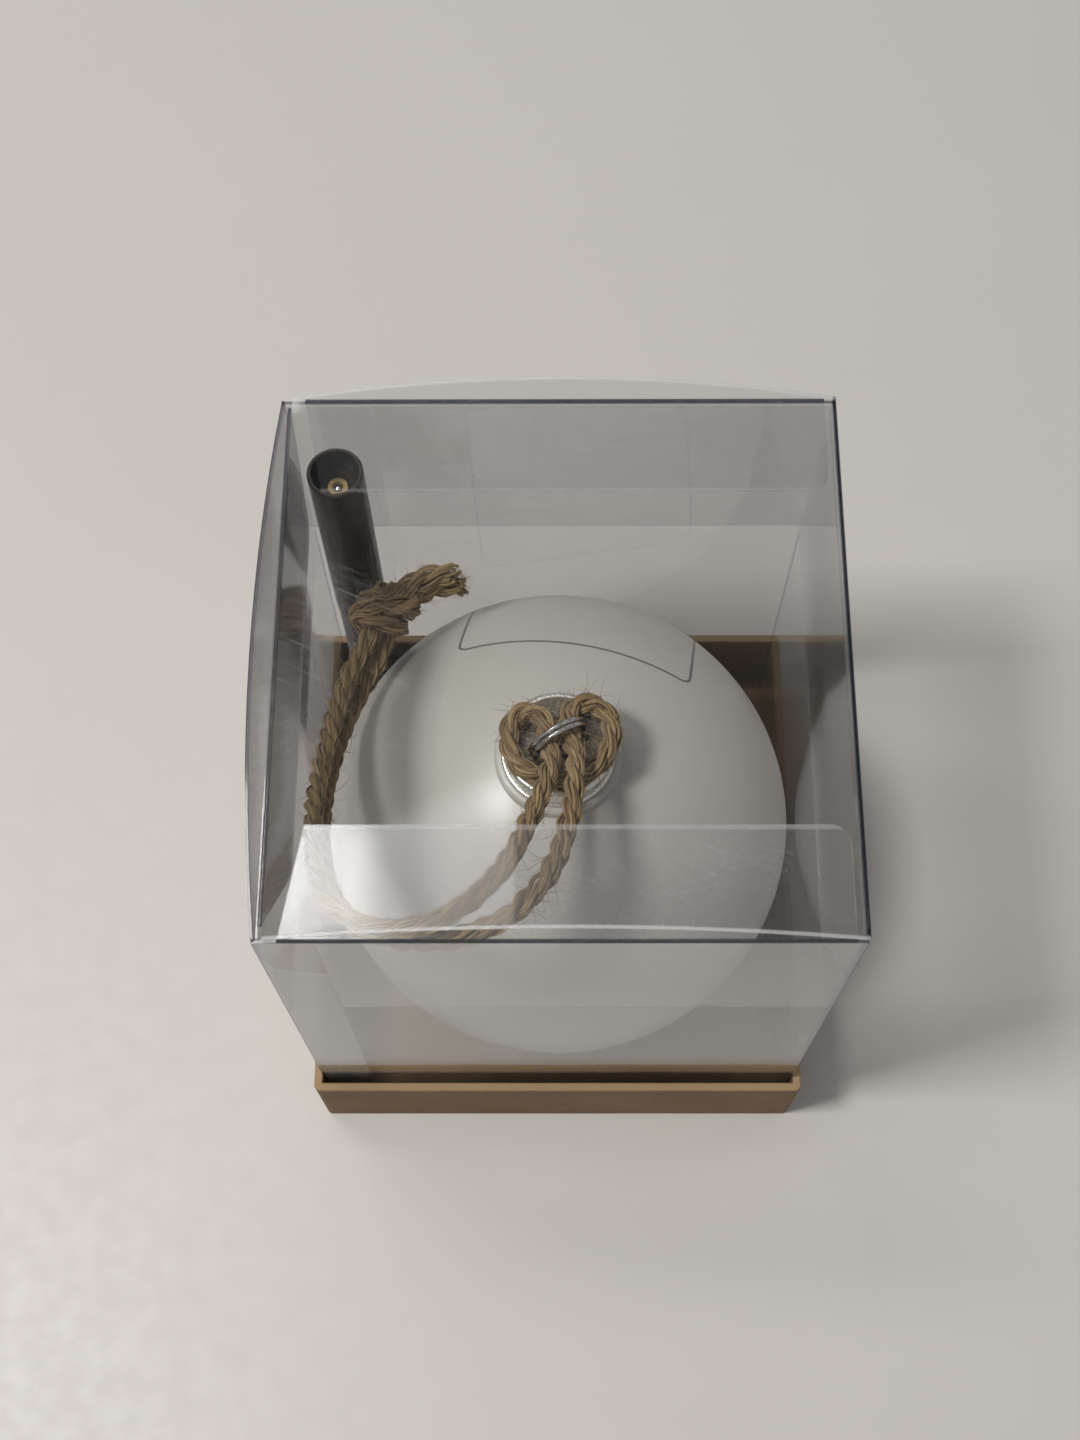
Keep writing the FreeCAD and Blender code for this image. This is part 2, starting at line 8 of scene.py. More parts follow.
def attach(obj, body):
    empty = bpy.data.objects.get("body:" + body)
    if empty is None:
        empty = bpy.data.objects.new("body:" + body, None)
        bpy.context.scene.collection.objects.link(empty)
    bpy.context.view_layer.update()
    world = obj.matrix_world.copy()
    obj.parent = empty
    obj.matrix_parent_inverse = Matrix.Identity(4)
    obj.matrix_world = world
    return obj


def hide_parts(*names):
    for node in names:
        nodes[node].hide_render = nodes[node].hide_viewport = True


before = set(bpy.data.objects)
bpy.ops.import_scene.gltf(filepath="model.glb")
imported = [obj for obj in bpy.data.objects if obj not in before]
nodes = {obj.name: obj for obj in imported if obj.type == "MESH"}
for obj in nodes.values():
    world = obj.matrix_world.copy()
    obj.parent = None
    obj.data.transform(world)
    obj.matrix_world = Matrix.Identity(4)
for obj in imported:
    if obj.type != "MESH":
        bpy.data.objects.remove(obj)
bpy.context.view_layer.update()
rng = random.Random(7)

MM = 0.001
scene = bpy.context.scene
scene.view_settings.view_transform = "Standard"
scene.cycles.transparent_max_bounces = 40

# Twine routes in millimetres: the solids' own points, but END_RIGHT is moved to lie under END_LEFT
TWINE_LEFT = [
    (-0.45, -9.7, 88.6), (-3.4, -9.7, 88.6), (-6.2, -8.0, 88.7), (-7.6, -5.0, 88.9),
    (-7.6, -1.6, 89.1), (-5.9, 0.6, 89.4), (-3.6, 0.6, 89.6), (-2.1, -1.2, 89.8),
    (-1.3, -5.4, 90.2), (-0.9, -8.2, 91.8), (-1.8, -12.4, 93.3), (-3.8, -17.5, 95.2),
    (-6.0, -23.5, 97.4), (-9.2, -29.5, 99.8), (-14.2, -34.6, 101.6), (-20.6, -37.6, 102.4),
    (-27.2, -37.2, 101.6), (-32.4, -33.2, 98.9), (-35.4, -27.0, 94.6), (-36.9, -19.6, 89.6),
    (-37.3, -11.6, 84.4), (-37.0, -3.4, 79.6), (-36.2, 4.6, 75.6), (-34.8, 12.2, 73.2),
    (-32.4, 18.8, 72.6), (-29.2, 24.2, 73.2),
]
TWINE_RIGHT = [
    (-0.35, -9.7, 88.6), (3.2, -9.7, 88.6), (6.4, -7.9, 88.7), (8.2, -4.7, 88.9),
    (8.2, -0.9, 89.2), (6.2, 1.9, 89.5), (3.2, 2.1, 89.8), (1.2, 0.0, 90.0),
    (1.9, -4.3, 90.2), (2.6, -7.3, 91.7), (2.5, -12.0, 93.2), (1.7, -17.8, 94.2),
    (0.3, -23.8, 95.2), (-2.8, -29.8, 96.3), (-7.8, -34.8, 97.4), (-14.2, -37.7, 98.2),
    (-21.0, -38.0, 98.0), (-27.6, -36.2, 96.6), (-32.4, -31.6, 93.4), (-35.0, -25.2, 89.0),
    (-36.4, -17.8, 83.9), (-36.8, -9.9, 78.9), (-36.3, -1.9, 74.3), (-35.0, 5.8, 70.7),
    (-32.6, 12.6, 68.7), (-29.8, 18.4, 68.8), (-27.6, 23.6, 71.0),
]
END_LEFT = [(-27.8, 26.4, 75.4), (-24.2, 28.6, 77.0), (-19.8, 29.8, 77.9), (-15.6, 29.5, 78.0)]
END_RIGHT = [(-25.8, 26.4, 72.6), (-23.2, 28.4, 74.0), (-19.0, 29.6, 74.9), (-14.8, 29.0, 75.0)]
KNOT_CENTRE = Vector((-28.6, 25.2, 73.4))
KNOT_AXIS = Vector((0.52, 0.80, 0.30)).normalized()

# Places on the solids that the materials follow, in millimetres
BALL_CENTRE = Vector((0, -1, 41.8))
NECK_LEAN = math.radians(3.5)
NECK_AXIS = Vector((0, -math.sin(NECK_LEAN), math.cos(NECK_LEAN)))
CAP_TOP = BALL_CENTRE + NECK_AXIS * 45.4
CAP_RIM = 7.5
TRAY_TOP = 22.0
PEN_TOP = 105.0
PEN_GROOVE = 61.0
HALF_WIDTH = 41.5
HALF_DEPTH = 42.0
COVER_TOP = 112.5
WALL_TOP = 111.7
LID_HINGE = 41.3
LID_SIDE = 41.9
TUCK_CREASE = -40.2
TUCK_FOOT = 97.4
FLAP_CREASE = 41.8
FRONT_FLAP_EDGE = 25.4
BACK_FLAP_EDGE = 26.4
COLLAR_FOOT = 73.1

# The plain ruled frame on the ball's back, its lengths as shares of the ball's radius
FRAME_TURN = math.radians(171)
FRAME_LEAN = math.radians(60)
FRAME_DROP = 0.33
FRAME_HALF_WIDE = 0.44
FRAME_HALF_TALL = 0.325
FRAME_CORNER = 0.04

# The room's colours: what is seen behind the part, and the light from below and from above
BACKDROP = (0.56, 0.55, 0.535)
LIGHT_BELOW = (0.20, 0.20, 0.203)
LIGHT_ABOVE = (0.33, 0.33, 0.334)

# The camera, at the photograph's place and angle, with millimetres for its place and lens
CAMERA_PLACE = Vector((-1.28, -109.66, 358.85))
CAMERA_TILT = math.radians(67.989)
CAMERA_PAN = -0.014
CAMERA_ROLL = -0.014
CAMERA_LENS = 47.5
CAMERA_SENSOR = 36


def make_camera():
    """Camera that is panned, tilted down from the level and then rolled."""
    tilt = CAMERA_TILT
    pan = CAMERA_PAN
    roll = CAMERA_ROLL
    forward = Vector((math.sin(pan) * math.cos(tilt), math.cos(pan) * math.cos(tilt), -math.sin(tilt)))
    level = Vector((math.cos(pan), -math.sin(pan), 0))
    rise = level.cross(forward)
    right = math.cos(roll) * level + math.sin(roll) * rise
    up = -math.sin(roll) * level + math.cos(roll) * rise
    turn = Matrix((right, up, -forward)).transposed().to_4x4()
    data = bpy.data.cameras.new("camera")
    data.lens = CAMERA_LENS
    data.sensor_width = CAMERA_SENSOR
    camera = bpy.data.objects.new("camera", data)
    camera.matrix_world = Matrix.Translation(CAMERA_PLACE * MM) @ turn
    scene.collection.objects.link(camera)
    scene.camera = camera


class Graph:
    """A material's shader nodes, added and joined one at a time."""

    def __init__(self, name):
        self.mat = bpy.data.materials.new(name)
        self.mat.use_nodes = True
        self.tree = self.mat.node_tree
        self.tree.nodes.clear()
        self.place = self.add("TexCoord").outputs["Object"]

    def add(self, kind, inputs=None, **settings):
        node = self.tree.nodes.new("ShaderNode" + kind)
        for key, value in settings.items():
            setattr(node, key, value)
        for key, value in (inputs or {}).items():
            if isinstance(value, bpy.types.NodeSocket):
                self.tree.links.new(value, node.inputs[key])
            else:
                node.inputs[key].default_value = value
        return node

    def math(self, operation, *values):
        return self.add("Math", dict(enumerate(values)), operation=operation).outputs[0]

    def vector(self, operation, *values, out=0):
        return self.add("VectorMath", dict(enumerate(values)), operation=operation).outputs[out]

    def dot(self, a, b):
        return self.vector("DOT_PRODUCT", a, b, out="Value")

    def ramp(self, value, low, high, start=0.0, end=1.0):
        inputs = {"Value": value, "From Min": low, "From Max": high, "To Min": start, "To Max": end}
        return self.add("MapRange", inputs, interpolation_type="SMOOTHSTEP").outputs[0]

    def mix(self, share, a, b):
        colours = [c if isinstance(c, bpy.types.NodeSocket) else (*c, 1) for c in (a, b)]
        return self.add("Mix", {0: share, 6: colours[0], 7: colours[1]}, data_type="RGBA").outputs[2]

    def noise(self, scale, detail=2.0, stretch=None, rough=0.5, turn=0.0, where=None):
        where = where or self.place
        if turn:
            inputs = {"Vector": where, "Axis": (0.3, 0.3, 1), "Angle": turn}
            where = self.add("VectorRotate", inputs).outputs[0]
        if stretch:
            where = self.vector("MULTIPLY", where, stretch)
        inputs = {"Vector": where, "Scale": scale, "Detail": detail, "Roughness": rough}
        return self.add("TexNoise", inputs).outputs[0]

    def bump(self, height, strength, distance):
        inputs = {"Height": height, "Strength": strength, "Distance": distance}
        return self.add("Bump", inputs).outputs[0]

    def principled(self, **inputs):
        named = {key.replace("_", " "): value for key, value in inputs.items()}
        colour = named.get("Base Color")
        if isinstance(colour, tuple):
            named["Base Color"] = (*colour, 1)
        return self.add("BsdfPrincipled", named).outputs[0]

    def blend(self, share, a, b):
        return self.add("MixShader", {0: share, 1: a, 2: b}).outputs[0]

    def done(self, shader):
        self.add("OutputMaterial", {"Surface": shader})
        return self.mat


# Stretches of the noise for the film's scratches, on upright and on level sheets
UPRIGHT = (1, 1, 30)
LEVEL = (1, 30, 30)


def up_to(axis, edge, start=0.35, full=0.10):
    """Band that fades in as the axis rises to an edge, from start to full, both short of the edge."""
    return (axis, edge - start, edge - full)


def down_to(axis, edge, start, full):
    """Band that fades in as the axis falls to an edge, from start to full, both short of the edge."""
    return (axis, edge + start, edge + full)


def film(name, haze=0.02, glint=0.04, painted_shade=(), painted_highlight=(), streak=0.05, polish=0.07, edge=0.26, powder=0.002,
         clear=(0.958, 0.96, 0.962), grain=UPRIGHT):
    """Clear film with painted shade along its folds and a painted highlight along its cut edges, with faint
    scratches and dust.
    """
    g = Graph(name)
    split = g.add("SeparateXYZ", {0: g.place}).outputs
    axes = {"x": split[0], "y": split[1], "z": split[2]}
    axes["ax"] = g.math("ABSOLUTE", split[0])
    axes["ay"] = g.math("ABSOLUTE", split[1])

    def lines(groups):
        """Strength of the bands: where all the bands of a group meet, and the strongest of the groups."""
        total = None
        for group in groups:
            part = None
            for axis, low, high in group:
                step = g.ramp(axes[axis], low * MM, high * MM)
                part = step if part is None else g.math("MULTIPLY", part, step)
            total = part if total is None else g.math("MAXIMUM", total, part)
        return 0.0 if total is None else total

    facing = g.add("LayerWeight", {"Blend": 0.5}).outputs["Facing"]
    shine = g.math("MULTIPLY_ADD", g.math("POWER", facing, 5.0), 1 - glint, glint)
    dust = g.ramp(g.noise(2200, 2), 0.58, 0.72)
    scratch_one = g.ramp(g.noise(70, 2, grain, turn=0.55), 0.61, 0.70)
    scratch_two = g.ramp(g.noise(90, 2, grain, turn=-0.30), 0.63, 0.72)
    smudge = g.ramp(g.noise(38, 3), 0.38, 0.70)
    scratches = g.math("MAXIMUM", scratch_one, scratch_two)
    marks_and_highlights = g.math("MULTIPLY_ADD", g.math("MULTIPLY", scratches, smudge), streak, haze)
    marks_and_highlights = g.math("MULTIPLY_ADD", smudge, haze * 0.7, marks_and_highlights)
    marks_and_highlights = g.math("MULTIPLY_ADD", g.math("MULTIPLY", dust, smudge), powder, marks_and_highlights)
    # Painted highlight: the cut edges get a share of milky white as strong as edge.
    marks_and_highlights = g.math("MULTIPLY_ADD", lines(painted_highlight), edge, marks_and_highlights)
    # Painted shade: the clear tint turns dark grey along the folds and the other shaded bands.
    tint = g.mix(lines(painted_shade), clear, (0.38, 0.39, 0.43))
    through = g.add("BsdfTransparent", {0: tint}).outputs[0]
    milk = g.principled(Base_Color=(0.74, 0.74, 0.74), Roughness=0.55)
    ripple = g.bump(g.noise(30, 1), 0.35, 0.0009)
    mirror = g.principled(Base_Color=(0.94, 0.945, 0.955), Metallic=1.0, Roughness=polish, Normal=ripple)
    return g.done(g.blend(shine, g.blend(marks_and_highlights, through, milk), mirror))


def white_glaze():
    """Warm white glaze, with a plain ruled frame on the back where the ball can be written on."""
    g = Graph("white_glaze")
    soft = g.noise(30, 3)
    speck = g.ramp(g.noise(1400, 2), 0.74, 0.80)
    colour = g.mix(soft, (0.50, 0.48, 0.437), (0.54, 0.52, 0.476))
    colour = g.mix(g.math("MULTIPLY", speck, 0.25), colour, (0.45, 0.42, 0.38))
    out = g.vector("NORMALIZE", g.vector("SUBTRACT", g.place, tuple(BALL_CENTRE * MM)))
    side = Vector((-math.cos(FRAME_TURN), -math.sin(FRAME_TURN), 0))
    back = Vector((math.sin(FRAME_TURN), -math.cos(FRAME_TURN), 0))
    across = g.dot(out, tuple(side))
    along = g.dot(out, tuple(Vector((0, 0, math.cos(FRAME_LEAN))) - back * math.sin(FRAME_LEAN)))
    wide = g.math("SUBTRACT", g.math("ABSOLUTE", across), FRAME_HALF_WIDE)
    tall = g.math("SUBTRACT", g.math("ABSOLUTE", g.math("ADD", along, FRAME_DROP)), FRAME_HALF_TALL)
    corner = g.vector("MAXIMUM", g.add("CombineXYZ", {0: wide, 1: tall}).outputs[0], (0, 0, 0))
    within = g.math("MINIMUM", g.math("MAXIMUM", wide, tall), 0.0)
    reach = g.math("ADD", g.vector("LENGTH", corner, out="Value"), within)
    line = g.ramp(g.math("ABSOLUTE", g.math("SUBTRACT", reach, FRAME_CORNER)), 0.0066, 0.0046)
    rear = g.math("GREATER_THAN", g.dot(out, tuple(back)), 0.05)
    ink = g.math("MULTIPLY", g.math("MULTIPLY", line, rear), 0.85)
    colour = g.mix(ink, colour, (0.07, 0.07, 0.075))
    rough = g.ramp(soft, 0.2, 0.8, 0.32, 0.42)
    normal = g.bump(g.noise(90, 2), 0.04, 0.0004)
    glaze = g.principled(Base_Color=colour, Roughness=rough, Normal=normal,
                         Coat_Weight=0.14, Coat_Roughness=0.28)
    return g.done(glaze)


def kraft_card():
    """Brown card with short fibres and flecks, paler along its top rim."""
    g = Graph("kraft_card")
    fibre_one = g.noise(420, 5, (1, 7, 5), 0.65)
    fibre_two = g.noise(420, 5, (7, 1, 5), 0.65)
    fleck = g.ramp(g.noise(1500, 3), 0.68, 0.76)
    cloud = g.noise(60, 4)
    crossed = g.math("ADD", fibre_one, fibre_two)
    fibres = g.math("MULTIPLY_ADD", crossed, 0.5, g.math("MULTIPLY_ADD", cloud, 0.5, -0.25))
    colour = g.mix(g.ramp(fibres, 0.3, 0.7), (0.142, 0.089, 0.043), (0.232, 0.152, 0.077))
    colour = g.mix(g.math("MULTIPLY", fleck, 0.45), colour, (0.12, 0.08, 0.045))
    split = g.add("SeparateXYZ", {0: g.place}).outputs
    height = g.math("ADD", split[2], g.math("MULTIPLY_ADD", cloud, 0.0008, -0.0004))
    rim = g.ramp(height, (TRAY_TOP - 0.7) * MM, (TRAY_TOP - 0.1) * MM)
    colour = g.mix(g.math("MULTIPLY", rim, 0.6), colour, (0.36, 0.245, 0.13))
    normal = g.bump(crossed, 0.35, 0.0003)
    rough = g.ramp(fibres, 0.3, 0.7, 0.72, 0.88)
    return g.done(g.principled(Base_Color=colour, Roughness=rough, Normal=normal))


def cap_metal():
    """Dull speckled cap top, with a painted highlight along its rolled rim."""
    g = Graph("cap_metal")
    reach = g.vector("SUBTRACT", g.place, tuple(CAP_TOP * MM))
    height = g.dot(reach, tuple(NECK_AXIS))
    level = g.add("VectorMath", {0: tuple(NECK_AXIS), "Scale": height}, operation="SCALE").outputs[0]
    radius = g.vector("LENGTH", g.vector("SUBTRACT", reach, level), out="Value")
    grain = g.noise(2600, 4, None, 0.7)
    patch = g.noise(260, 3)
    colour = g.mix(g.ramp(grain, 0.40, 0.66), (0.075, 0.062, 0.047), (0.23, 0.195, 0.15))
    colour = g.mix(g.ramp(patch, 0.35, 0.7, 0.0, 0.35), colour, (0.07, 0.058, 0.045))
    # Painted highlight: the rolled rim is painted paler and smoother all around.
    rim = g.ramp(radius, CAP_RIM * MM, (CAP_RIM + 0.4) * MM)
    colour = g.mix(rim, colour, (0.70, 0.68, 0.64))
    rough = g.math("SUBTRACT", g.ramp(grain, 0.3, 0.7, 0.36, 0.56), g.math("MULTIPLY", rim, 0.2))
    normal = g.bump(grain, 0.25, 0.0001)
    return g.done(g.principled(Base_Color=colour, Metallic=0.9, Roughness=rough, Normal=normal))


def metal(name, low, high, rough_low, rough_high, scale=900):
    """Bare metal with fine drawn lines and small tarnish patches."""
    g = Graph(name)
    drawn = g.noise(scale, 3, (1, 1, 0.12))
    colour = g.mix(g.ramp(drawn, 0.35, 0.65), low, high)
    rough = g.ramp(g.noise(scale * 0.4, 3), 0.3, 0.7, rough_low, rough_high)
    normal = g.bump(drawn, 0.08, 0.00005)
    return g.done(g.principled(Base_Color=colour, Metallic=1.0, Roughness=rough, Normal=normal))


def dark_metal():
    """Dark lacquered pen tube, brushed along its length, with a painted highlight on its open end and
    painted shade in its recessed ring.
    """
    g = Graph("dark_metal")
    brushed = g.noise(900, 4, (1, 1, 0.05))
    cloud = g.noise(120, 3)
    split = g.add("SeparateXYZ", {0: g.place}).outputs
    colour = g.mix(g.ramp(brushed, 0.35, 0.65), (0.005, 0.0037, 0.0024), (0.016, 0.0105, 0.006))
    colour = g.mix(g.ramp(cloud, 0.4, 0.75, 0.0, 0.5), colour, (0.005, 0.004, 0.003))
    # Painted shadow in the groove at the foot of the cap.
    groove_shade = g.ramp(g.math("ABSOLUTE", g.math("SUBTRACT", split[2], PEN_GROOVE * MM)), 0.75 * MM, 0.35 * MM)
    colour = g.mix(g.math("MULTIPLY", groove_shade, 0.8), colour, (0.006, 0.005, 0.004))
    # Painted highlight on the open lip at the top.
    lip_highlight = g.ramp(split[2], (PEN_TOP - 0.4) * MM, (PEN_TOP - 0.05) * MM)
    colour = g.mix(g.math("MULTIPLY", lip_highlight, 0.6), colour, (0.10, 0.088, 0.075))
    rough = g.ramp(brushed, 0.3, 0.7, 0.24, 0.36)
    normal = g.bump(brushed, 0.06, 0.00005)
    lacquer = g.principled(Base_Color=colour, Roughness=rough, Specular_IOR_Level=0.14, Normal=normal,
                           Coat_Weight=0.12, Coat_Roughness=0.08)
    return g.done(lacquer)


def plain_solid(name, low, high, rough, scale=700, height=0.1):
    """Moulded or felted solid with fine grain."""
    g = Graph(name)
    grain = g.noise(scale, 4)
    colour = g.mix(g.ramp(grain, 0.35, 0.65), low, high)
    shade = g.ramp(grain, 0.3, 0.7, rough - 0.06, rough + 0.06)
    return g.done(g.principled(Base_Color=colour, Roughness=shade, Normal=g.bump(grain, height, 0.0001)))


def jute():
    """Dry jute yarn: each yarn its own tone, with fine fibres along it."""
    g = Graph("jute")
    tone = g.add("Attribute", attribute_name="tint").outputs["Fac"]
    lay = g.add("Attribute", attribute_name="lay").outputs["Vector"]
    fibre = g.noise(1.0, 3, None, 0.7, where=lay)
    colour = g.mix(tone, (0.150, 0.090, 0.039), (0.53, 0.365, 0.172))
    colour = g.mix(g.ramp(fibre, 0.38, 0.68, 0.0, 0.62), colour, (0.078, 0.046, 0.021))
    normal = g.bump(fibre, 0.6, 0.0001)
    yarn = g.principled(Base_Color=colour, Roughness=0.82, Normal=normal,
                        Sheen_Weight=0.25, Sheen_Roughness=0.4)
    return g.done(yarn)


def table_top():
    """Pale table that runs out into the backdrop, well away from the part."""
    g = Graph("table_top")
    colour = g.mix(g.noise(14, 4), (0.50, 0.478, 0.452), (0.525, 0.502, 0.476))
    near = g.principled(Base_Color=colour, Roughness=g.ramp(g.noise(200, 3), 0.3, 0.7, 0.42, 0.5))
    rays = g.add("LightPath").outputs
    seen = g.math("MAXIMUM", rays["Is Camera Ray"], rays["Is Glossy Ray"])
    away = g.ramp(g.vector("LENGTH", g.place, out="Value"), 0.30, 1.4)
    far = g.add("Emission", {"Color": (*BACKDROP, 1)}).outputs[0]
    return g.done(g.blend(g.math("MULTIPLY", away, seen), near, far))


# Twine, whose lengths from here on are in metres
PLIES = 3
PLY_PITCH = 10.5 * MM
PLY_OFFSET = 0.80 * MM
YARNS = 11
YARN_PITCH = 0.75 * PLY_PITCH
YARN_OFFSET = 0.62 * MM
YARN_RADIUS = 0.225 * MM
SLOW_WAVE = 2.1 * MM
QUICK_WAVE = 0.9 * MM
FRAY_LENGTH = 4.0 * MM
HAIR_RADIUS = 0.055 * MM
HAIR_STEPS = 5

# Scale of the fibre noise on a yarn: its step at each ring of points, and its reach around the yarn
LAY_STEP = 0.09
LAY_ROUND = 2.4

# The space inside the film that the loose fibres keep to
FUZZ_HALF_X = 40.6 * MM
FUZZ_HALF_Y = 41.0 * MM
FUZZ_FOOT = 30 * MM
FUZZ_TOP = 111.0 * MM


def read_route(points, steps=14):
    """Points along the smooth line that a route's points pull, and the line's length so far at each."""
    data = bpy.data.curves.new("route", "CURVE")
    data.dimensions = "3D"
    data.resolution_u = steps
    spline = data.splines.new("NURBS")
    spline.points.add(len(points) - 1)
    for target, point in zip(spline.points, points):
        target.co = (*(Vector(point) * MM), 1)
    spline.order_u = 3
    spline.use_endpoint_u = True
    line = bpy.data.objects.new("route", data)
    scene.collection.objects.link(line)
    mesh = bpy.data.meshes.new_from_object(line)
    found = [v.co.copy() for v in mesh.vertices]
    bpy.data.objects.remove(line)
    bpy.data.meshes.remove(mesh)
    run = [0.0]
    for a, b in zip(found, found[1:]):
        run.append(run[-1] + (b - a).length)
    return found, run


def walk(points):
    """Unit tangent and two cross directions at each point, turned as little as possible along the way."""
    frames = []
    side = None
    for i in range(len(points)):
        tangent = (points[min(i + 1, len(points) - 1)] - points[max(i - 1, 0)]).normalized()
        if side is None:
            side = tangent.orthogonal()
        side = (side - tangent * side.dot(tangent)).normalized()
        frames.append((tangent, side, tangent.cross(side)))
    return frames


class Yarns:
    """One mesh of many thin tubes, each with its own tone."""

    def __init__(self):
        self.verts = []
        self.faces = []
        self.tones = []
        self.lays = []

    def tube(self, centres, radii, tone, sides=5):
        first = len(self.verts)
        start = rng.uniform(0, 90)
        for i, (centre, radius, (tangent, side, over)) in enumerate(zip(centres, radii, walk(centres))):
            for k in range(sides):
                angle = 2 * math.pi * k / sides
                self.verts.append(centre + (side * math.cos(angle) + over * math.sin(angle)) * radius)
                self.tones.append(tone)
                around = (LAY_ROUND * math.cos(angle), LAY_ROUND * math.sin(angle))
                self.lays += (start + LAY_STEP * i, *around)
        for i in range(len(centres) - 1):
            a = first + i * sides
            for k in range(sides):
                n = (k + 1) % sides
                self.faces.append((a + k, a + n, a + sides + n, a + sides + k))
        last = first + (len(centres) - 1) * sides
        self.faces.append(tuple(first + k for k in reversed(range(sides))))
        self.faces.append(tuple(last + k for k in range(sides)))

    def piece(self, name, material):
        mesh = bpy.data.meshes.new(name)
        mesh.from_pydata([tuple(v) for v in self.verts], [], self.faces)
        mesh.polygons.foreach_set("use_smooth", [True] * len(mesh.polygons))
        tint = mesh.attributes.new("tint", "FLOAT", "POINT")
        tint.data.foreach_set("value", self.tones)
        lay = mesh.attributes.new("lay", "FLOAT_VECTOR", "POINT")
        lay.data.foreach_set("vector", self.lays)
        mesh.materials.append(material)
        mesh.update()
        made = bpy.data.objects.new(name, mesh)
        scene.collection.objects.link(made)
        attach(made, "hanger")
        return made


def lay_twine(yarns, points, run, phase=0.0, fray=0.0, scale=1.0):
    """Three-ply twine laid along the points, loosened over its last few millimetres where it frays."""
    frames = walk(points)
    for p in range(PLIES):
        for q in range(YARNS):
            tone = min(1.0, max(0.0, rng.gauss(0.5, 0.22)))
            drift = rng.uniform(0, 6.28)
            swell = rng.uniform(0.88, 1.12)
            stop = len(points) - (rng.randrange(0, 7) if fray else 0)
            centres = []
            radii = []
            for i in range(stop):
                s = run[i]
                tangent, side, over = frames[i]
                loose = fray * max(0.0, 1 - (run[-1] - s) / FRAY_LENGTH) ** 2
                turn = phase + 2 * math.pi * (p / PLIES - s / PLY_PITCH)
                spin = 2 * math.pi * (q / YARNS + s / YARN_PITCH) + drift * 0.15
                ply = side * math.cos(turn) + over * math.sin(turn)
                beside = tangent.cross(ply)
                slow = 0.10 * math.sin(s / SLOW_WAVE + drift)
                quick = 0.06 * math.sin(s / QUICK_WAVE + 2 * drift)
                wander = 1 + slow + quick
                reach = scale * (PLY_OFFSET * (1 + 1.1 * loose))
                yarn = scale * YARN_OFFSET * swell * wander * (1 + 1.5 * loose)
                around = ply * math.cos(spin) + beside * math.sin(spin)
                centres.append(points[i] + ply * reach + around * yarn)
                radii.append(scale * YARN_RADIUS * wander * (1 - 0.35 * loose))
            yarns.tube(centres, radii, tone)


def inside_box(point):
    """Whether a point of a loose fibre is inside the film."""
    level = abs(point.x) < FUZZ_HALF_X and abs(point.y) < FUZZ_HALF_Y
    return level and FUZZ_FOOT < point.z < FUZZ_TOP


def add_fuzz(yarns, points, count, low, high, reach=1.35):
    """Loose fibres off the twine, low to high millimetres long, rooted at reach from its middle."""
    frames = walk(points)
    while count:
        i = rng.randrange(1, len(points) - 1)
        tangent, side, over = frames[i]
        angle = rng.uniform(0, 2 * math.pi)
        out = side * math.cos(angle) + over * math.sin(angle)
        off = out * rng.uniform(0.25, 1.0)
        along = tangent * rng.choice((-1, 1)) * rng.uniform(0.4, 1.2)
        heading = (off + along).normalized()
        curl = Vector((rng.gauss(0, 1), rng.gauss(0, 1), rng.gauss(0, 1))) * 0.35
        length = rng.uniform(low, high) * MM
        spot = points[i] + out * reach * MM
        hair = [spot]
        for _ in range(HAIR_STEPS):
            heading = (heading + curl * 0.4).normalized()
            spot = spot + heading * length / HAIR_STEPS
            hair.append(spot)
        if all(inside_box(point) for point in hair):
            radii = [HAIR_RADIUS * (1 - 0.14 * k) for k in range(HAIR_STEPS + 1)]
            yarns.tube(hair, radii, rng.uniform(0.45, 1.0), 3)
            count -= 1


def knot_routes():
    """Control points of the overhand knot: the wraps about its axis, and the pass that crosses them."""
    front = Vector((0.06, -0.44, 0.895))
    side = (front - KNOT_AXIS * front.dot(KNOT_AXIS)).normalized()
    over = KNOT_AXIS.cross(side)

    def pull(count, first, turns, low, high, radius):
        """Points that turn about the axis from the first angle, between two places along it."""
        route = []
        for i in range(count + 1):
            share = i / count
            angle = first + 2 * math.pi * turns * share
            ends = 0.55 + 0.45 * min(1.0, 6 * share, 6 * (1 - share))
            reach = radius * ends * (1 + 0.09 * math.sin(2.3 * angle + 1))
            at = low + (high - low) * share + 0.45 * math.sin(angle + 0.6)
            around = side * math.cos(angle) + over * math.sin(angle)
            route.append(KNOT_CENTRE + KNOT_AXIS * at + around * reach)
        return route

    wraps = pull(count=34, first=2.6, turns=2.35, low=-4.0, high=3.4, radius=3.5)
    crossing = pull(count=12, first=-1.9, turns=0.52, low=-3.6, high=4.0, radius=4.3)
    return [wraps, crossing]


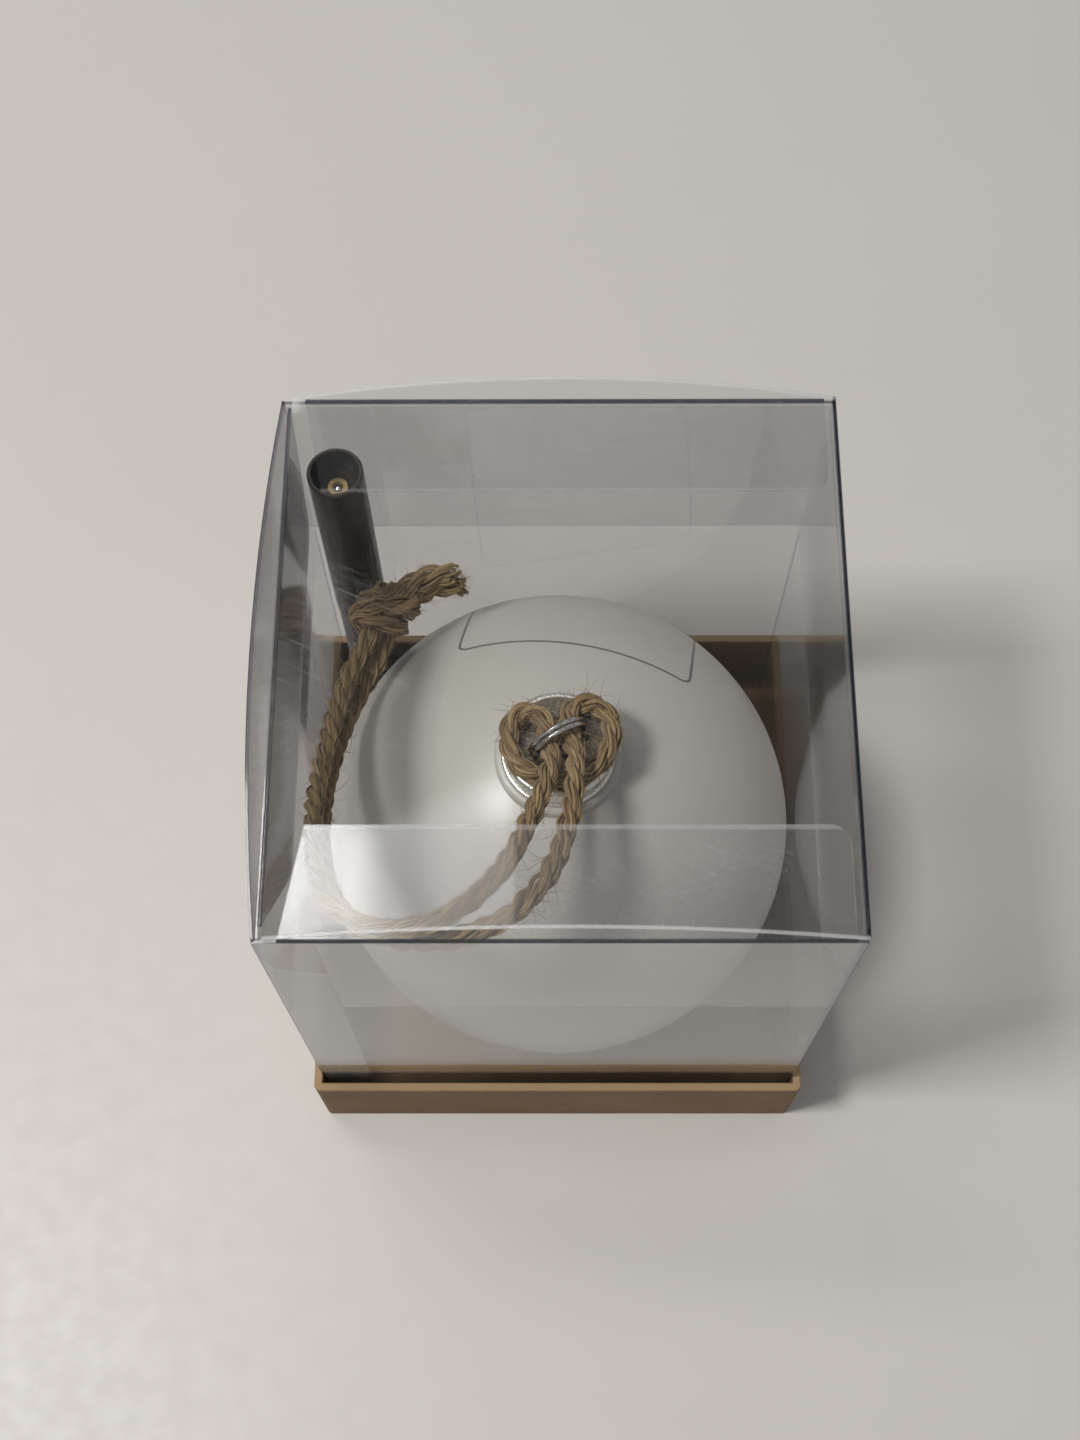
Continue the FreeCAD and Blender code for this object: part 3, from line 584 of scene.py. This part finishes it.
def make_twine(material):
    """Tails, knot and both strands, with one piece for all the loose fibres."""
    fuzz = Yarns()
    tails = Yarns()
    for route, phase in ((END_LEFT, 0.3), (END_RIGHT, 1.4)):
        points, run = read_route(route)
        lay_twine(tails, points, run, phase, fray=0.08, scale=1.2)
        add_fuzz(fuzz, points, count=90, low=0.8, high=3.4)
        add_fuzz(fuzz, points[-10:], count=60, low=0.8, high=2.4, reach=0.9)
    knot = Yarns()
    for route, phase in zip(knot_routes(), (0.0, 1.9)):
        points, run = read_route(route, steps=7)
        lay_twine(knot, points, run, phase)
        add_fuzz(fuzz, points, count=110, low=0.8, high=3.4)
    core = [KNOT_CENTRE + KNOT_AXIS * at for at in (-4.8, 0, 4.8)]
    points, run = read_route(core)
    lay_twine(knot, points, run, phase=0.7, scale=1.25)
    tails = tails.piece("twine_tails", material)
    knot = knot.piece("twine_knot_wraps", material)
    lays = (("twine_strand_left", TWINE_LEFT, 0.0), ("twine_strand_right", TWINE_RIGHT, 1.1))
    for name, route, phase in lays:
        points, run = read_route(route)
        strand = Yarns()
        lay_twine(strand, points, run, phase)
        add_fuzz(fuzz, points, count=420, low=0.6, high=4.2)
        strand.piece(name, material)
    fuzz = fuzz.piece("twine_fibres", material)
    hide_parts("twine_left")
    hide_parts("twine_right")
    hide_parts("twine_knot")
    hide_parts("twine_ends")


# Floor and lights, in metres
TABLE_HALF = 4.0


def make_stage(material):
    """Table, room and lamps."""
    half = TABLE_HALF
    corners = [(-half, -half, 0), (half, -half, 0), (half, half, 0), (-half, half, 0)]
    mesh = bpy.data.meshes.new("table")
    mesh.from_pydata(corners, [], [(0, 1, 2, 3)])
    mesh.materials.append(material)
    table = bpy.data.objects.new("table", mesh)
    scene.collection.objects.link(table)
    make_room()
    add_lamp("window_lamp", (-0.62, -0.15, 1.30), 0.22, 14.6).rotation_euler = (0.11, -0.44, 0)
    add_lamp("ceiling_strip", (-0.38, 0.29, 1.15), 0.50, 2.4, 0.13)


def make_room():
    """Room light that grows with height, behind a plain backdrop."""
    world = bpy.data.worlds.new("room")
    world.use_nodes = True
    tree = world.node_tree
    split = tree.nodes.new("ShaderNodeSeparateXYZ")
    tree.links.new(tree.nodes.new("ShaderNodeTexCoord").outputs["Generated"], split.inputs[0])
    sky = tree.nodes.new("ShaderNodeValToRGB")
    sky.color_ramp.elements[0].color = (*LIGHT_BELOW, 1)
    sky.color_ramp.elements[1].color = (*LIGHT_ABOVE, 1)
    tree.links.new(split.outputs["Z"], sky.inputs[0])
    rays = tree.nodes.new("ShaderNodeLightPath").outputs
    seen = tree.nodes.new("ShaderNodeMath")
    seen.operation = "MAXIMUM"
    tree.links.new(rays["Is Camera Ray"], seen.inputs[0])
    tree.links.new(rays["Is Glossy Ray"], seen.inputs[1])
    mixed = tree.nodes.new("ShaderNodeMix")
    mixed.data_type = "RGBA"
    mixed.inputs[7].default_value = (*BACKDROP, 1)
    tree.links.new(seen.outputs[0], mixed.inputs[0])
    tree.links.new(sky.outputs[0], mixed.inputs[6])
    tree.links.new(mixed.outputs[2], tree.nodes["Background"].inputs["Color"])
    scene.world = world


def add_lamp(name, place, width, watts, depth=None):
    """Soft lamp that shines straight down until it is turned."""
    data = bpy.data.lights.new(name, "AREA")
    data.shape = "RECTANGLE"
    data.size = width
    data.size_y = depth or width
    data.energy = watts
    data.color = (1.0, 0.985, 0.955)
    lamp = bpy.data.objects.new(name, data)
    lamp.location = place
    scene.collection.objects.link(lamp)
    return lamp


# Which material each solid takes
def paint_nodes():
    """Make the materials and put one on each solid that the scene keeps."""
    # Bands where the films get painted shade along their folds and a painted highlight along their cut
    # edges.
    corners = (up_to("ax", HALF_WIDTH), up_to("ay", HALF_DEPTH))
    wall_top_shade = (up_to("z", WALL_TOP),)
    # Painted shade on the left wall, darker towards its top.
    shade = (("z", 80, 160),)
    lid_hinge_shade = (up_to("x", LID_HINGE, 0.3, 0.1),)
    lid_crease_shade = (down_to("x", TUCK_CREASE, 0.2, 0.0),)
    lid_edge_highlight = (up_to("ay", LID_SIDE, 0.6, 0.3),)
    # Painted highlight on the lid's back left corner, where it curls up.
    corner_highlight = (down_to("x", TUCK_CREASE, 2.6, 0.4), up_to("y", LID_SIDE, 3.7, 1.3))
    tuck_crease_shade = (up_to("z", COVER_TOP, 0.6, 0.0),)
    tuck_foot_highlight = (down_to("z", TUCK_FOOT, 0.4, 0.0),)
    flap_crease_shade = (up_to("ay", FLAP_CREASE, 0.4, 0.15),)
    front_edge_highlight = (down_to("ay", FRONT_FLAP_EDGE, 0.8, 0.5),)
    back_edge_highlight = (down_to("ay", BACK_FLAP_EDGE, 0.6, 0.35),)
    collar_foot_highlight = (down_to("z", COLLAR_FOOT, 0.35, 0.15),)
    wall = film("film_wall", painted_shade=(corners, wall_top_shade), haze=0.014)
    # A darker copy of the wall film, as painted shade on the left wall.
    left = film("film_left_shaded", painted_shade=(corners, wall_top_shade, shade), haze=0.006, clear=(0.90, 0.898, 0.905))
    lid = film("film_lid", glint=0.006, painted_shade=(lid_hinge_shade, lid_crease_shade), painted_highlight=(lid_edge_highlight, corner_highlight),
               haze=0.002, powder=0.02, clear=(0.915, 0.917, 0.918), grain=LEVEL)
    # A darker copy of the wall film, as painted shade on the tuck flap.
    tuck = film("film_tuck_shaded", painted_shade=(tuck_crease_shade,), painted_highlight=(tuck_foot_highlight,), clear=(0.80, 0.80, 0.81))
    flap = film("film_flap", glint=0.05, painted_shade=(flap_crease_shade,), painted_highlight=(front_edge_highlight,), haze=0.010, streak=0.10,
                polish=0.11, powder=0.20, edge=0.14, grain=LEVEL)
    back_flap = film("film_back_flap", glint=0.011, painted_shade=(flap_crease_shade,), painted_highlight=(back_edge_highlight,), haze=0.006,
                     streak=0.06, edge=0.08, clear=(0.93, 0.932, 0.934), grain=LEVEL)
    collar = film("film_collar", painted_highlight=(collar_foot_highlight,), haze=0.006, edge=0.1, clear=(0.945, 0.947, 0.949))
    seam = film("film_seam", haze=0.15, streak=0.15, powder=0.2)
    brass = metal("brass", (0.50, 0.36, 0.15), (0.66, 0.50, 0.24), 0.22, 0.36)
    steel = metal("steel", (0.55, 0.55, 0.54), (0.70, 0.70, 0.69), 0.20, 0.32)
    wire = metal("bright_wire", (0.34, 0.33, 0.315), (0.62, 0.61, 0.59), 0.10, 0.20, 1600)
    tube = dark_metal()
    black = plain_solid("black_plastic", (0.016, 0.015, 0.014), (0.028, 0.026, 0.024), 0.42)
    felt = plain_solid("ink_fibre", (0.30, 0.29, 0.27), (0.46, 0.45, 0.42), 0.85, 1600, 0.5)
    wears = {
        "base_tray": kraft_card(),
        "cover_front_panel": wall,
        "cover_back_panel": wall,
        "cover_left_panel": left,
        "cover_right_panel": wall,
        "glue_seam": seam,
        "inner_collar": collar,
        "lid_panel": lid,
        "tuck_flap": tuck,
        "front_dust_flap": flap,
        "back_dust_flap": back_flap,
        "ball_shell": white_glaze(),
        "hanger_cap": cap_metal(),
        "spring_clip": wire,
        "hanger_ring": wire,
        "pen_cap": tube,
        "pen_barrel": tube,
        "pen_plug": black,
        "pen_grip": black,
        "pen_nib": felt,
        "ink_reservoir": felt,
        "cap_bush": brass,
        "cap_pin": steel,
    }
    for name, material in wears.items():
        node = nodes[name]
        node.data.materials.clear()
        node.data.materials.append(material)


make_camera()
paint_nodes()
make_twine(jute())
make_stage(table_top())
